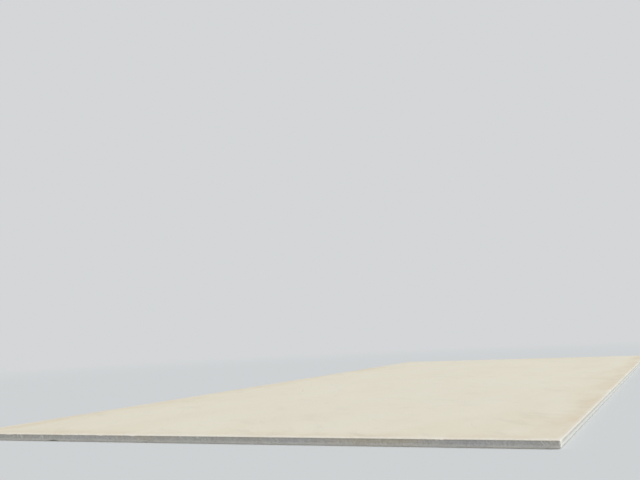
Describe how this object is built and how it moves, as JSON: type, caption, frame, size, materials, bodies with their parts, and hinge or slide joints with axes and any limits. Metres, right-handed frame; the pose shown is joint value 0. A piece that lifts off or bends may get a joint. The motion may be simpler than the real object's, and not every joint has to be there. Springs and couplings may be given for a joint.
{
  "type": "drywall sheet",
  "caption": "Flat rectangular gypsum board with a smooth ivory paper face, paper-bound square long edges and sawn ends, for lining walls and ceilings.",
  "frame": {"origin": "middle of the back, at the level that the board rests on, which is the bottom centre of the bounding box", "axes": "+X along the length, +Y across the width, +Z out of the face through the thickness"},
  "size_m": [3, 1.2, 0.0125],
  "materials": {
    "board": "matte"
  },
  "bodies": {
    "root": {"drywall_sheet": "board"}
  },
  "joints": []
}
